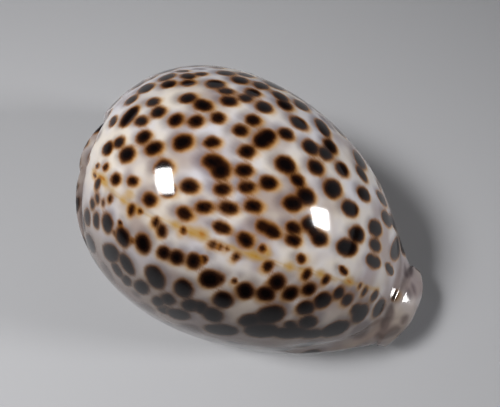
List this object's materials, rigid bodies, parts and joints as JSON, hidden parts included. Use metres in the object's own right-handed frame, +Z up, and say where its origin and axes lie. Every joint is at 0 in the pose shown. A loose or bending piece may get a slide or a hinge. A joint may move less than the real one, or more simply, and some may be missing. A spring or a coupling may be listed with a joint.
{
  "type": "tiger cowrie shell",
  "caption": "Glossy egg-shaped sea shell, spotted dark brown on cream, hollow, open underneath along a narrow toothed slit.",
  "frame": {"origin": "under the middle of the shell's bounding box, on the surface that it rests on", "axes": "+X along the shell to its front (siphon) end, +Y to the columella side, +Z up to the top of the dome"},
  "size_m": [0.119, 0.0794, 0.067],
  "materials": {
    "porcelain_shell": "glossy natural enamel, cream with dark brown spots"
  },
  "bodies": {
    "root": {"shell": "porcelain_shell"}
  },
  "joints": []
}
